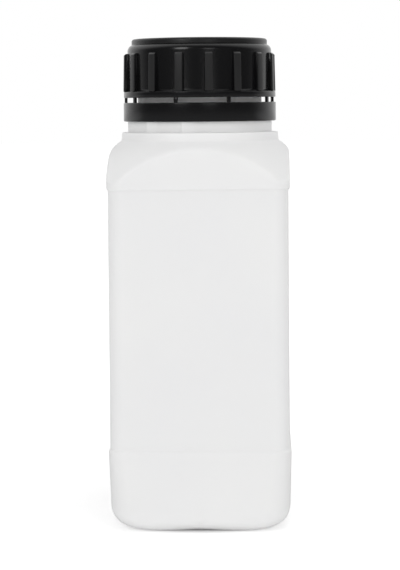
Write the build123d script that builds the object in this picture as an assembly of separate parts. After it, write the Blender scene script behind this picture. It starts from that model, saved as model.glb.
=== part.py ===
"""Square 500 ml media bottle with a tamper-evident screw cap.

Millimetres, +Z up. The origin is the centre of the base, on the plane the bottle stands on.
-Y is the front. Angles of ribs, bridges and ratchet teeth are counted from the front towards +X.
"""
from build123d import *
import math
import os

os.makedirs("parts", exist_ok=True)

# ---- Bottle body: a blown rounded square with recessed label panels ------------------------
PANEL_WIDTH = 62.9  # across two opposite label panels
PANEL_CORNER = 5.6  # radius of the upright corners at the panels
PANEL_HEIGHT = 90.7  # from the foot step to the shoulder step
SHOULDER_PROUD = 0.55  # the shoulder band stands this far out from the panels
FOOT_PROUD = 0.4  # the same for the foot band, at its top
FOOT_HEIGHT = 29.6  # base to the top of the foot step
FOOT_DRAW = 0.45  # each side of the foot band draws in this much towards the base
FOOT_CORNER = 9.4  # radius of the upright corners where they meet the base
FOOT_STEP = 1.3  # height of the sloped step between foot band and panel
SHOULDER_STEP = 0.8  # height of the sloped step between panel and shoulder band
BASE_ROUND = 9.0  # rounding between the sides and the base
BODY_WALL = 1.2  # blown wall of the body

# ---- Base: a pushed-up middle inside a flat standing rim -----------------------------------
STANDING_RIM = 4.6  # width of the flat rim that touches the table
PUSH_UP_HEIGHT = 2.2  # how far the middle of the base is raised
PUSH_UP_SLOPE = 3.0  # how far the sides of the raised middle lean in
PUSH_UP_CORNER = 7.0  # corner radius of the raised middle, at its foot
PUSH_UP_ROUND = 1.5  # rounding of its upper edge
PINCH_LENGTH = 26.0  # scar where the mould pinched the tube shut, along Y
PINCH_WIDTH = 1.2
PINCH_HEIGHT = 0.6

# ---- Shoulder: a spherical dome that the four sides cut into arches ------------------------
DOME_RADIUS = 52.0  # radius of the dome
ARCH_RISE = 2.15  # from the shoulder step up to where the arches spring at the corners
ARCH_ROUND = 3.5  # rounding along the arches
SHOULDER_LAND = 2.2  # least width of dome between the plateau and the middle of a side
PLATEAU_STEP = 2.45  # round step under the collar, this much wider than the collar at its foot
PLATEAU_DRAW = 0.25  # the side of the plateau leans in this much
PLATEAU_HEIGHT = 3.05  # how far the plateau stands above the dome at its side
PLATEAU_EDGE = 0.4  # rounding of its upper edge
PLATEAU_BLEND = 1.2  # hollow rounding between dome and plateau

# ---- Neck and ratchet collar ---------------------------------------------------------------
COLLAR_RADIUS = 25.85  # hollow collar that carries the ratchet teeth
COLLAR_HEIGHT = 6.1  # above the plateau
COLLAR_EDGE = 0.5  # rounding of its upper edge
TOOTH_RISE = 0.45  # ratchet teeth on the collar
TOOTH_LENGTH = 16.0  # degrees, from the steep face to where the ramp runs out
TOOTH_ROOT = 1.0  # how deep a tooth is rooted in the collar
TOOTH_PAIR = (-46.0, -14.7)  # degrees, steep faces of the front pair
TOOTH_PAIRS = 2  # pairs, spread evenly round the collar
NECK_RADIUS = 22.25  # outside of the neck, at the thread root
NECK_WALL = 1.65
NECK_HEIGHT = 29.3  # from the plateau to the sealing rim
ROOF_HIGH = 0.5  # the sloped roof inside the collar starts this far under the collar's top
ROOF_LOW = 2.8  # and ends this far under it, at the collar's wall
RIM_EDGE = 0.5  # rounding of the sealing rim
BEAD_RISE = 2.15  # bead that holds the tamper ring down, out from the neck
BEAD_HEIGHT = 1.5
BEAD_LAND = 0.5  # upright part of the bead, under its sloped upper side
THREAD_RISE = 1.4  # room for the thread, out from the neck
CLEARANCE = 0.35  # radial play between pieces that turn on each other
SEAT_GAP = 0.3  # play between pieces that lie loose on each other

# ---- Tamper ring ---------------------------------------------------------------------------
RING_HEIGHT = 6.75
RING_WALL = 0.75
RING_CHAMFER = 0.4  # upper outer edge
RING_EDGE = 0.5  # rounding of the lower outer edge
FLAP_GAP = 0.2  # from the top of the collar up to the root of the flap
FLAP_THICKNESS = 0.8  # inner flap that catches under the bead
FLAP_RISE = 1.4  # the flap rises this much on its way in
FLAP_CATCH = 1.0  # how far the flap reaches in under the bead
BRIDGES = 9
BRIDGE_PHASE = 21.6  # degrees
BRIDGE_WIDTH = 1.3
BRIDGE_DEPTH = 0.9
BRIDGE_ROOT = 0.8  # how deep a bridge is rooted in the ring
BRIDGE_GAP = 1.75  # open slot between the ring and the cap
PAWL_WIDTH = 1.2  # pawl inside the ring, ahead of each ratchet tooth
PAWL_PLAY = 3.0  # degrees between a pawl and the steep face of its tooth

# ---- Screw cap and sealing disc ------------------------------------------------------------
LINER_THICKNESS = 1.0
CAP_TOP = 3.0  # thickness of the cap's top plate
CAP_WALL = 1.85  # skirt between the thread and the grip ribs
CAP_SHOULDER = 2.4  # rounding above the grip ribs
DISC_SET = 1.5  # the raised disc on top cuts that rounding this far in from the skirt
DISC_HEIGHT = 1.8  # above the highest point of the rounding
DISC_EDGE = 0.9
FLANGE_RISE = 1.45  # the flange stands out this much from the skirt, at least
FLANGE_SET = 0.1  # and stands back this much from the outside of the ring
FLANGE_HEIGHT = 2.7
FLANGE_SLOPE = 0.65  # height of the sloped upper side of the flange
RIBS = 16
RIB_PHASE = 6.6  # degrees
RIB_WIDTH = 2.75
RIB_RISE_FOOT = 1.6  # how far a rib stands out from the skirt at its foot
RIB_RISE_HEAD = 1.35  # and at its head
RIB_HEAD = 5.5  # from the top of the cap down to the rib heads
RIB_BEVEL = 0.6  # bevel of the rib heads

# ---- Modelling aids ------------------------------------------------------------------------
OVERLAP = 4.0  # how far solids that become one run into each other
SAME = 0.01  # points closer than this count as one

# ---- Radii and widths that follow from the sizes above -------------------------------------
neck_bore = NECK_RADIUS - NECK_WALL
collar_bore = COLLAR_RADIUS - NECK_WALL
plateau_radius = COLLAR_RADIUS + PLATEAU_STEP
bead_radius = NECK_RADIUS + BEAD_RISE
flap_tip = bead_radius - FLAP_CATCH
cap_bore = NECK_RADIUS + THREAD_RISE + CLEARANCE
cap_skirt = cap_bore + CAP_WALL
disc_radius = cap_skirt - DISC_SET
ring_room = max(COLLAR_RADIUS + TOOTH_RISE, bead_radius) + CLEARANCE  # what the ring goes over
ring_radius = max(ring_room + RING_WALL, cap_skirt + FLANGE_RISE + FLANGE_SET)
ring_bore = ring_radius - RING_WALL
flange_radius = ring_radius - FLANGE_SET

half_panel = PANEL_WIDTH / 2
half_band = max(half_panel + SHOULDER_PROUD, plateau_radius + SHOULDER_LAND)
band_corner = PANEL_CORNER + half_band - half_panel
corner_reach = band_corner + (half_band - band_corner) * math.sqrt(2)  # axis to an upright corner
half_foot = half_panel + FOOT_PROUD
base_round = min(BASE_ROUND, FOOT_CORNER - SAME)

# ---- Heights that follow, from the base up -------------------------------------------------
step_top = FOOT_HEIGHT + PANEL_HEIGHT
dome_centre = step_top + ARCH_RISE - math.sqrt(DOME_RADIUS**2 - corner_reach**2)
arch_top = dome_centre + math.sqrt(DOME_RADIUS**2 - half_band**2)
plateau_foot = dome_centre + math.sqrt(DOME_RADIUS**2 - plateau_radius**2)
plateau_top = plateau_foot + PLATEAU_HEIGHT
collar_top = plateau_top + COLLAR_HEIGHT
flap_root = collar_top + FLAP_GAP + FLAP_THICKNESS  # upper side of the flap, at the ring's wall
flap_top = flap_root + FLAP_RISE
bead_bottom = flap_top + SEAT_GAP
bead_top = bead_bottom + BEAD_HEIGHT
ring_top = bead_top + SEAT_GAP
ring_bottom = ring_top - RING_HEIGHT
cap_bottom = ring_top + BRIDGE_GAP
neck_top = plateau_top + NECK_HEIGHT
liner_top = neck_top + LINER_THICKNESS
cap_top = liner_top + CAP_TOP
disc_foot = cap_top - DISC_HEIGHT


def turned(points):
    """Solid of revolution of a closed outline of (radius, height) points."""
    outline = Polyline(*[(radius, 0, height) for radius, height in points], close=True)
    return revolve(make_face(outline), Axis.Z)


def from_front(angle, piece):
    """Turn a piece modelled on +X so that it stands at an angle from the front."""
    return Rot(0, 0, angle - 90) * piece


def circle_edges(solid, radius, height):
    """Round edges about Z with this radius at this height."""
    found = []
    for edge in solid.edges().filter_by(GeomType.CIRCLE):
        centre = edge.arc_center
        level = abs(centre.Z - height) < SAME and math.hypot(centre.X, centre.Y) < SAME
        if level and abs(edge.radius - radius) < SAME:
            found.append(edge)
    return found


# ---- Bottle --------------------------------------------------------------------------------
def square(half, corner, height):
    """Rounded square outline at a height."""
    return Pos(0, 0, height) * RectangleRounded(2 * half, 2 * half, corner)


def dome(inset):
    """Bullet whose round head is the dome; below the head it clears the body."""
    radius = DOME_RADIUS - inset
    side = Line((radius, 0, 0), (radius, 0, dome_centre))
    head = Plane.XZ * CenterArc((0, dome_centre), radius, 0, 90)
    middle = Polyline((0, 0, dome_centre + radius), (0, 0, 0), (radius, 0, 0))
    return revolve(make_face([side, head, middle]), Axis.Z)


def arch_edges(form, radius):
    """Edges along which a dome of this radius meets the four sides and the four corners."""
    middle = Vector(0, 0, dome_centre)
    found = []
    for edge in form.edges():
        points = (edge @ 0, edge @ 0.5, edge @ 1)
        on_dome = all(abs((point - middle).length - radius) < SAME for point in points)
        if on_dome and (edge @ 0.5).Z < arch_top + SAME:
            found.append(edge)
    return found


def body_form(inset):
    """The body's outer form or, with an inset, the form of its inside."""
    levels = (
        (inset, half_foot - FOOT_DRAW, FOOT_CORNER),
        (FOOT_HEIGHT - FOOT_STEP, half_foot, PANEL_CORNER + FOOT_PROUD),
        (FOOT_HEIGHT, half_panel, PANEL_CORNER),
        (step_top - SHOULDER_STEP, half_panel, PANEL_CORNER),
        (step_top, half_band, band_corner),
        (dome_centre + DOME_RADIUS, half_band, band_corner),
    )
    outlines = [square(half - inset, corner - inset, height) for height, half, corner in levels]
    form = loft(outlines, ruled=True)
    form = fillet(form.edges().group_by(Axis.Z)[0], base_round - inset)
    form = form & dome(inset)
    return fillet(arch_edges(form, DOME_RADIUS - inset), ARCH_ROUND - inset)


def push_up(inset):
    """The raised middle of the base; with an inset, what it takes from the inside."""
    half = half_foot - FOOT_DRAW - base_round - STANDING_RIM + inset
    corner = PUSH_UP_CORNER + inset
    foot = square(half, corner, 0)
    top = square(half - PUSH_UP_SLOPE, corner - PUSH_UP_SLOPE, PUSH_UP_HEIGHT + inset)
    solid = loft([foot, top], ruled=True)
    return fillet(solid.edges().group_by(Axis.Z)[-1], PUSH_UP_ROUND + inset)


def pinch_scar():
    """Low ridge across the raised middle, left by the mould's pinch-off."""
    height = PINCH_HEIGHT + BODY_WALL / 2
    low = PUSH_UP_HEIGHT - PINCH_HEIGHT
    return Pos(0, 0, low + height / 2) * Box(PINCH_WIDTH, PINCH_LENGTH, height)


def neck_form():
    """Plateau, collar, neck and bead as one turned solid."""
    lean = PLATEAU_DRAW / PLATEAU_HEIGHT
    return turned(
        (
            (0, plateau_foot - OVERLAP),
            (plateau_radius + lean * OVERLAP, plateau_foot - OVERLAP),
            (plateau_radius - PLATEAU_DRAW, plateau_top),
            (COLLAR_RADIUS, plateau_top),
            (COLLAR_RADIUS, collar_top),
            (NECK_RADIUS, collar_top),
            (NECK_RADIUS, bead_bottom),
            (bead_radius, bead_bottom),
            (bead_radius, bead_bottom + BEAD_LAND),
            (NECK_RADIUS, bead_top),
            (NECK_RADIUS, neck_top),
            (0, neck_top),
        )
    )


def neck_inside():
    """The way through neck and collar into the body."""
    return turned(
        (
            (0, plateau_foot - OVERLAP),
            (collar_bore, plateau_foot - OVERLAP),
            (collar_bore, collar_top - ROOF_LOW),
            (neck_bore, collar_top - ROOF_HIGH),
            (neck_bore, neck_top + OVERLAP),
            (0, neck_top + OVERLAP),
        )
    )


def inside():
    """The room that the bottle holds, up through its mouth."""
    return body_form(BODY_WALL) - push_up(BODY_WALL) + neck_inside()


def ratchet_tooth(height):
    """One tooth on +X: a steep face, then a ramp that runs out against the turning way."""
    def at(angle, radius):
        turn = math.radians(angle)
        return (radius * math.cos(turn), radius * math.sin(turn))

    crest = COLLAR_RADIUS + TOOTH_RISE
    root = COLLAR_RADIUS - TOOTH_ROOT
    ramp = ThreePointArc(
        at(0, crest),
        at(TOOTH_LENGTH / 2, COLLAR_RADIUS + TOOTH_RISE / 2),
        at(TOOTH_LENGTH, COLLAR_RADIUS),
    )
    rest = Polyline(at(TOOTH_LENGTH, COLLAR_RADIUS), at(TOOTH_LENGTH, root), at(0, root), at(0, crest))
    return extrude(make_face([ramp, rest]), height)


def tooth_angles():
    """Angles of all steep faces, from the front."""
    turns = [pair * 360 / TOOTH_PAIRS for pair in range(TOOTH_PAIRS)]
    return [angle + turn for turn in turns for angle in TOOTH_PAIR]


def bottle(room):
    """Blow-moulded body, shoulder and neck in one piece, round the room that they hold."""
    solid = body_form(0.0) + neck_form()
    solid = fillet(circle_edges(solid, plateau_radius, plateau_foot), PLATEAU_BLEND)
    solid = fillet(
        circle_edges(solid, plateau_radius - PLATEAU_DRAW, plateau_top), PLATEAU_EDGE
    )
    solid = fillet(circle_edges(solid, COLLAR_RADIUS, collar_top), COLLAR_EDGE)
    solid -= push_up(0.0)
    solid += pinch_scar()
    for angle in tooth_angles():
        tooth = ratchet_tooth(COLLAR_HEIGHT - COLLAR_EDGE)
        solid += from_front(angle, Pos(0, 0, plateau_top) * tooth)
    solid -= room
    rim = circle_edges(solid, NECK_RADIUS, neck_top) + circle_edges(solid, neck_bore, neck_top)
    return fillet(rim, RIM_EDGE)


# ---- Tamper ring ---------------------------------------------------------------------------
def tamper_ring():
    """Ring with an inner flap, pawls for the ratchet and thin bridges up to the cap."""
    solid = turned(
        (
            (ring_bore, ring_bottom),
            (ring_radius, ring_bottom),
            (ring_radius, ring_top - RING_CHAMFER),
            (ring_radius - RING_CHAMFER, ring_top),
            (ring_bore, ring_top),
            (ring_bore, flap_root),
            (flap_tip, flap_top),
            (flap_tip, flap_top - FLAP_THICKNESS),
            (ring_bore, flap_root - FLAP_THICKNESS),
        )
    )
    solid = fillet(circle_edges(solid, ring_radius, ring_bottom), RING_EDGE)
    for index in range(BRIDGES):
        solid += from_front(BRIDGE_PHASE + index * 360 / BRIDGES, bridge())
    for angle in tooth_angles():
        solid += from_front(angle - PAWL_PLAY, pawl())
    return solid


def bridge():
    """Thin post on +X from the ring up to the cap."""
    height = BRIDGE_GAP + BRIDGE_ROOT
    outer = ring_radius - RING_CHAMFER
    post = Box(BRIDGE_DEPTH, BRIDGE_WIDTH, height)
    return Pos(outer - BRIDGE_DEPTH / 2, 0, cap_bottom - height / 2) * post


def pawl():
    """Small stop on +X inside the ring, level with the ratchet teeth."""
    inner = COLLAR_RADIUS + CLEARANCE
    depth = ring_bore + RING_WALL / 2 - inner
    height = collar_top - ring_bottom
    return Pos(inner + depth / 2, -PAWL_WIDTH / 2, ring_bottom + height / 2) * Box(
        depth, PAWL_WIDTH, height
    )


# ---- Screw cap and sealing disc ------------------------------------------------------------
def grip_rib():
    """One rib on +X, with a flat outer face and a bevelled head."""
    foot = cap_bottom + FLANGE_HEIGHT - FLANGE_SLOPE
    head = cap_top - RIB_HEAD
    root = cap_skirt - CAP_WALL / 3
    side = Plane.XZ * make_face(
        Polyline(
            (root, foot),
            (cap_skirt + RIB_RISE_FOOT, foot),
            (cap_skirt + RIB_RISE_HEAD, head - RIB_BEVEL),
            (cap_skirt + RIB_RISE_HEAD - RIB_BEVEL, head),
            (root, head),
            close=True,
        )
    )
    return extrude(side, RIB_WIDTH / 2, both=True)


def screw_cap():
    """Cap with a raised disc, grip ribs and a flange above the tamper ring."""
    flange_top = cap_bottom + FLANGE_HEIGHT
    solid = turned(
        (
            (0, disc_foot),
            (cap_skirt, disc_foot),
            (cap_skirt, flange_top),
            (flange_radius, flange_top - FLANGE_SLOPE),
            (flange_radius, cap_bottom),
            (cap_bore, cap_bottom),
            (cap_bore, liner_top),
            (0, liner_top),
        )
    )
    solid = fillet(circle_edges(solid, cap_skirt, disc_foot), CAP_SHOULDER)
    disc = turned(((0, liner_top), (disc_radius, liner_top), (disc_radius, cap_top), (0, cap_top)))
    solid += fillet(circle_edges(disc, disc_radius, cap_top), DISC_EDGE)
    for index in range(RIBS):
        solid += from_front(RIB_PHASE + index * 360 / RIBS, grip_rib())
    return solid


def cap_liner():
    """Sealing disc between the cap and the rim of the neck."""
    return Pos(0, 0, neck_top) * Cylinder(
        cap_bore - SEAT_GAP, LINER_THICKNESS, align=(Align.CENTER, Align.CENTER, Align.MIN)
    )


room = inside()
pieces = {
    "bottle": bottle(room),
    "tamper_ring": tamper_ring(),
    "screw_cap": screw_cap(),
    "cap_liner": cap_liner(),
}
for name, piece in pieces.items():
    export_step(piece, f"parts/{name}.step")

brimful = (room - Pos(0, 0, neck_top) * Cylinder(
    NECK_RADIUS, OVERLAP, align=(Align.CENTER, Align.CENTER, Align.MIN)
)).volume / 1000
print(f"brimful volume {brimful:.0f} ml, height {cap_top:.1f} mm, body {2 * half_band:.1f} mm wide")
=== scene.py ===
# %% [markdown]
# # A square media bottle with a tamper-evident cap
#
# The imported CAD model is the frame: it says how large the bottle is and where each piece sits.
# Everything below is dressed around it. The bottle is one blown shell, the cap and the ring under
# it are moulded black plastic, and a foam disc seals the neck.

# %% Load the frame
import math

import bmesh
import bpy
import numpy as np
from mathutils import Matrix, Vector


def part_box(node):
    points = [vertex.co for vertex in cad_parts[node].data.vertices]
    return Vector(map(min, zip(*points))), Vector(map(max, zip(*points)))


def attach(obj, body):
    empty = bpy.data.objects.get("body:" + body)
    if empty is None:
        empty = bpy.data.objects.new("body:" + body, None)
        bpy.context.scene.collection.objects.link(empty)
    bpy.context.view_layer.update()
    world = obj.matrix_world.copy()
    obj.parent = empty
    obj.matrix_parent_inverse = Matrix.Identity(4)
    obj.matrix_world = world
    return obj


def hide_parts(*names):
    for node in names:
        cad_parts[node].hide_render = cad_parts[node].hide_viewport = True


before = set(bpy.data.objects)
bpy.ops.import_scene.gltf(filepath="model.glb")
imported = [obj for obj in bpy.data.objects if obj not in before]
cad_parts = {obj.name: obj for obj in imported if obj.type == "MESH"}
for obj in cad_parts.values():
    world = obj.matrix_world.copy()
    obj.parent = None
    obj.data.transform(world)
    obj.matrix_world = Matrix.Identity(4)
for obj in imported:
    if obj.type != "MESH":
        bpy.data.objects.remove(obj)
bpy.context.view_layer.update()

MM = 0.001  # sizes below are in millimetres and become metres when a mesh is made

# %% [markdown]
# ## Sizes
#
# The outer sizes come from the frame. What the frame's boxes can't tell, such as walls, roundings
# and the thread, is named in the cell that first needs it, in the words of the people who draw
# such bottles.

# %% Sizes from the frame


def box_mm(node):
    """Lowest and highest corner of a CAD node, in millimetres."""
    low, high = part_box(node)
    return low / MM, high / MM


bottle_high = box_mm("bottle")[1]
ring_low, ring_high = box_mm("tamper_ring")
cap_low, cap_high = box_mm("screw_cap")
liner_low, liner_high = box_mm("cap_liner")

half_band = bottle_high.x  # shoulder band, the widest part of the body
neck_top = bottle_high.z
cap_bottom, cap_top = cap_low.z, cap_high.z
ring_bottom, ring_radius = ring_low.z, ring_high.x
liner_radius, liner_top = liner_high.x, liner_high.z
print(f"body {2 * half_band:.1f} mm wide, neck top {neck_top:.1f} mm, cap top {cap_top:.1f} mm")

# %% [markdown]
# The body has three widths. The label panels stand back between the foot band and the shoulder
# band, so that a label isn't rubbed off when bottles stand side by side.

# %% Sizes of the body

SHOULDER_PROUD = 0.55
FOOT_PROUD = 0.55
FOOT_DRAW = 0.7
FOOT_HEIGHT = 29.6
FOOT_STEP = 1.3
PANEL_HEIGHT = 90.7
SHOULDER_STEP = 0.8
PANEL_CORNER = 5.6
FOOT_CORNER = 9.4
BASE_ROUND = 9.0  # height of the rounding under the foot band
BASE_DRAW = 7.8  # and how far it draws in
BODY_WALL = 1.2

half_panel = half_band - SHOULDER_PROUD
half_foot = half_panel + FOOT_PROUD
step_top = FOOT_HEIGHT + PANEL_HEIGHT
print(f"label panels {2 * half_panel:.1f} mm wide, shoulder from {step_top:.1f} mm up")

# %% [markdown]
# The shoulder is a dome that springs from the body's corners, and all that sits on it takes its
# height from it: the arches, the plateau and the hollow collar. The bead on the neck takes its
# height from the tamper ring instead, because the ring's flap catches under it.

# %% Sizes of the shoulder, the collar and the neck

DOME_RADIUS = 52.0
ARCH_RISE = 2.15
PLATEAU_RADIUS = 28.3
PLATEAU_HEIGHT = 3.05
COLLAR_RADIUS = 25.85
COLLAR_HEIGHT = 6.1
TOOTH_LENGTH = 14.0  # degrees
TOOTH_ANGLES = (-42.8, -12.0, 137.2, 168.0)  # degrees from the front, steep faces
NECK_RADIUS = 22.25
NECK_WALL = 1.65
BEAD_RADIUS = 24.4
BEAD_HEIGHT = 1.5
RING_HEIGHT = 6.75
SEAT_GAP = 0.3

band_corner = PANEL_CORNER + SHOULDER_PROUD
corner_reach = band_corner + (half_band - band_corner) * math.sqrt(2)
dome_centre = step_top + ARCH_RISE - math.sqrt(DOME_RADIUS**2 - corner_reach**2)
arch_top = dome_centre + math.sqrt(DOME_RADIUS**2 - half_band**2)
plateau_foot = dome_centre + math.sqrt(DOME_RADIUS**2 - PLATEAU_RADIUS**2)
plateau_top = plateau_foot + PLATEAU_HEIGHT
collar_top = plateau_top + COLLAR_HEIGHT
ring_top = ring_bottom + RING_HEIGHT
bead_top = ring_top - SEAT_GAP
bead_bottom = bead_top - BEAD_HEIGHT
neck_bore = NECK_RADIUS - NECK_WALL
collar_bore = COLLAR_RADIUS - NECK_WALL
print(f"arches up to {arch_top:.1f} mm, collar from {plateau_top:.1f} to {collar_top:.1f} mm")

# %% [markdown]
# ## Round pieces from a profile
#
# A turned piece is a profile of (radius, height) points swept round the axis. Moulded plastic has
# no sharp corner, so each corner of the profile carries its own rounding. Real roundings in the
# mesh catch light at every angle, which a bevel shader wouldn't keep in an export.

# %% Profiles with rounded corners


def rounded(corners, steps=5):
    """Profile points from (radius, height, rounding) corners; a rounding of 0 keeps the corner."""
    points = []
    for index, (r, z, rounding) in enumerate(corners):
        here = Vector((r, z))
        if not rounding or index in (0, len(corners) - 1):
            points.append((r, z))
            continue
        back = Vector(corners[index - 1][:2]) - here
        ahead = Vector(corners[index + 1][:2]) - here
        half_turn = back.angle(ahead) / 2
        reach = rounding / math.tan(half_turn)
        centre = here + (back.normalized() + ahead.normalized()).normalized() * (
            rounding / math.sin(half_turn)
        )
        start = here + back.normalized() * reach - centre
        end = here + ahead.normalized() * reach - centre
        turn = start.angle_signed(end)
        for step in range(steps + 1):
            angle = -turn * step / steps
            x = start.x * math.cos(angle) - start.y * math.sin(angle)
            y = start.x * math.sin(angle) + start.y * math.cos(angle)
            points.append((centre.x + x, centre.y + y))
    return points


square_corner = ((0, 0, 0), (1, 0, 0.2), (1, 1, 0))
print(f"a rounded corner takes {len(rounded(square_corner)) - 2} points of a profile")

# %% [markdown]
# One function makes every mesh here that goes round the axis. Its rings may be round or not, so
# the square body and the turned cap share it. Edges stay sharp only where the form turns hard.

# %% Meshes from rings

CREASE = 38  # degrees; edges that turn more than this stay sharp


def shell(name, rings, angles, loop=False):
    """Mesh through rings of (radii, height); the ends close on the axis unless it is a loop."""
    count = len(angles)
    cos, sin = np.cos(angles), np.sin(angles)
    points = []
    for radii, height in rings:
        radii = np.broadcast_to(radii, count)
        heights = np.broadcast_to(height, count)
        points.append(np.stack([radii * cos, radii * sin, heights], axis=1))
    vertices = np.concatenate(points) * MM
    faces = []
    links = len(rings) if loop else len(rings) - 1
    for ring in range(links):
        low, high = ring * count, (ring + 1) % len(rings) * count
        for k in range(count):
            after = (k + 1) % count
            faces.append((low + k, low + after, high + after, high + k))
    if not loop:
        first, last = len(vertices), len(vertices) + 1
        centres = np.array([[0, 0, np.mean(ring[1])] for ring in (rings[0], rings[-1])]) * MM
        vertices = np.concatenate([vertices, centres])
        top = (len(rings) - 1) * count
        for k in range(count):
            after = (k + 1) % count
            faces.append((first, after, k))
            faces.append((last, top + k, top + after))
    mesh = bpy.data.meshes.new(name)
    mesh.from_pydata(vertices.tolist(), [], faces)
    return added(name, mesh)


def added(name, mesh):
    """Object in the scene with smooth faces and sharp creases only where the form turns hard."""
    mesh.polygons.foreach_set("use_smooth", [True] * len(mesh.polygons))
    mesh.set_sharp_from_angle(angle=math.radians(CREASE))
    made = bpy.data.objects.new(name, mesh)
    bpy.context.scene.collection.objects.link(made)
    return made


def turned(name, corners, count=192, loop=False):
    """A piece turned from a rounded profile."""
    profile = rounded(corners)
    angles = np.arange(count) * 2 * math.pi / count
    return shell(name, [(r, z) for r, z in profile], angles, loop)


print(f"edges that turn more than {CREASE} degrees stay sharp")

# %% [markdown]
# ## The bottle
#
# The body is a rounded square whose size changes with height: it draws in at the foot, steps in to
# the label panels and steps out again to the shoulder band. The mesh is a stack of rings that
# share their directions from the axis, so that square rings at the body and round rings at the
# neck join without a seam. The rings carry on over the rim and down the inside, which makes the
# wall real.

# %% Directions and square rings

FLAT_STEPS = 40  # mesh steps along one flat side
CORNER_STEPS = 20  # and round one upright corner


def directions():
    """Directions from the axis: dense at the upright corners, doubled at the steep tooth faces."""
    flat = half_panel - PANEL_CORNER
    along = np.linspace(-flat, flat, FLAT_STEPS, endpoint=False)
    turn = np.linspace(0, math.pi / 2, CORNER_STEPS, endpoint=False)
    side = np.arctan2(along, half_panel)
    corner = np.arctan2(flat + PANEL_CORNER * np.sin(turn), flat + PANEL_CORNER * np.cos(turn))
    quarter = np.concatenate([side, corner])
    angles = np.concatenate([quarter + k * math.pi / 2 for k in range(4)])
    steep = np.radians(np.array(TOOTH_ANGLES) - 90)
    ramp_end = steep + math.radians(TOOTH_LENGTH)
    angles = np.concatenate([angles, steep - 0.001, steep + 0.001, ramp_end]) % (2 * math.pi)
    return np.unique(angles)


around = directions()


def square_radius(half, corner):
    """Distance from the axis to a rounded square, in each direction."""
    x = np.maximum(abs(np.cos(around)), abs(np.sin(around)))
    y = np.minimum(abs(np.cos(around)), abs(np.sin(around)))
    flat = half - corner
    on_side = half / x
    middle = flat * (x + y)
    on_corner = middle + np.sqrt(np.maximum(middle**2 - 2 * flat**2 + corner**2, 0))
    return np.where(on_side * y <= flat, on_side, on_corner)


def soft_step(t):
    """0 to 1 with a gentle start and end."""
    return t * t * (3 - 2 * t)


print(f"{len(around)} directions round the bottle")

# %% [markdown]
# The same function gives the outside and the inside: the inside is the outside drawn in by the
# wall. It walks from the middle of the base out to the standing rim, round the base, up the sides
# and into the shoulder. The shoulder rings stay square here; the dome comes from a Geometry Nodes
# tree later.

# %% Rings of the base, the body and the shoulder band

RIM_CORNER = 11.0  # plan corner of the standing rim
STANDING_RIM = 5.8
SEAM_RELIEF = 0.45  # the rim is lifted at the seam, so that the bottle doesn't rock on it
SEAM_REACH = 11.0
PUSH_UP_HEIGHT = 2.2
PUSH_UP_SLOPE = 3.0
PUSH_UP_CORNER = 7.0


def relieved(radii, height):
    """Ring lifted where it crosses the seam, the more the nearer it is to the floor."""
    off_seam = np.minimum(abs(radii * np.cos(around)) / SEAM_REACH, 1)
    low = max(1 - height / PUSH_UP_HEIGHT, 0)
    return radii, height + SEAM_RELIEF * low * (1 - soft_step(off_seam))


def push_up_rings(inset):
    """The raised middle of the base, from its centre out to the standing rim."""
    half = half_foot - FOOT_DRAW - BASE_DRAW - STANDING_RIM + inset
    top, top_corner = half - PUSH_UP_SLOPE, PUSH_UP_CORNER + inset - PUSH_UP_SLOPE
    rings = []
    for share in (0.25, 0.5, 0.75, 0.9):
        rings.append((share * square_radius(top, top_corner), PUSH_UP_HEIGHT + inset))
    for t in np.linspace(0, 1, 11):
        radii = square_radius(top + PUSH_UP_SLOPE * t, top_corner + PUSH_UP_SLOPE * t)
        rings.append(relieved(radii, inset + PUSH_UP_HEIGHT * (1 - soft_step(t))))
    return rings


def base_round_rings(inset):
    """The rounding from the standing rim up to the foot band."""
    rings = []
    for angle in np.linspace(0, math.pi / 2, 17):
        draw = BASE_DRAW - (BASE_DRAW - inset) * math.sin(angle)
        height = BASE_ROUND - (BASE_ROUND - inset) * math.cos(angle)
        half = half_foot - FOOT_DRAW * (1 - height / (FOOT_HEIGHT - FOOT_STEP))
        share = (draw - inset) / (BASE_DRAW - inset)
        corner = (FOOT_CORNER - inset) * (1 - share) + RIM_CORNER * share
        rings.append(relieved(square_radius(half - draw, corner), height))
    return rings


def side_rings(inset):
    """Foot band, foot step, label panel, shoulder step and shoulder band."""
    low = (half_foot, PANEL_CORNER + FOOT_PROUD)
    panel = (half_panel, PANEL_CORNER)
    band = (half_band, PANEL_CORNER + SHOULDER_PROUD)
    foot_share = BASE_ROUND / (FOOT_HEIGHT - FOOT_STEP)
    base = (half_foot - FOOT_DRAW * (1 - foot_share), FOOT_CORNER)
    stages = (
        (BASE_ROUND, FOOT_HEIGHT - FOOT_STEP, base, low, 9, False),
        (FOOT_HEIGHT - FOOT_STEP, FOOT_HEIGHT, low, panel, 7, True),
        (FOOT_HEIGHT, step_top - SHOULDER_STEP, panel, panel, 9, False),
        (step_top - SHOULDER_STEP, step_top, panel, band, 7, True),
    )
    rings = []
    for start, end, before, after, count, soft in stages:
        for t in np.linspace(0, 1, count)[1:]:
            share = soft_step(t) if soft else t
            half = before[0] + (after[0] - before[0]) * share
            corner = before[1] + (after[1] - before[1]) * share
            radii = square_radius(half - inset, corner - inset)
            rings.append((radii, start + (end - start) * t))
    return rings


def shoulder_rings(inset, top):
    """Square rings from the shoulder step up to where the dome is round on its own."""
    radii = square_radius(half_band - inset, PANEL_CORNER + SHOULDER_PROUD - inset)
    heights = np.arange(step_top, top, 0.35)[1:]
    return [(radii, height) for height in heights]


below_shoulder = push_up_rings(0) + base_round_rings(0) + side_rings(0)
print(f"{len(below_shoulder)} rings from the base to the shoulder band")

# %% [markdown]
# The neck is round, so its rings come from one rounded profile. It starts on the dome, climbs the
# plateau and the hollow collar, passes the bead that holds the tamper ring, turns over the sealing
# rim and comes down the bore. The ratchet teeth are added to the collar's radius, direction by
# direction.

# %% Rings of the neck

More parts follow.
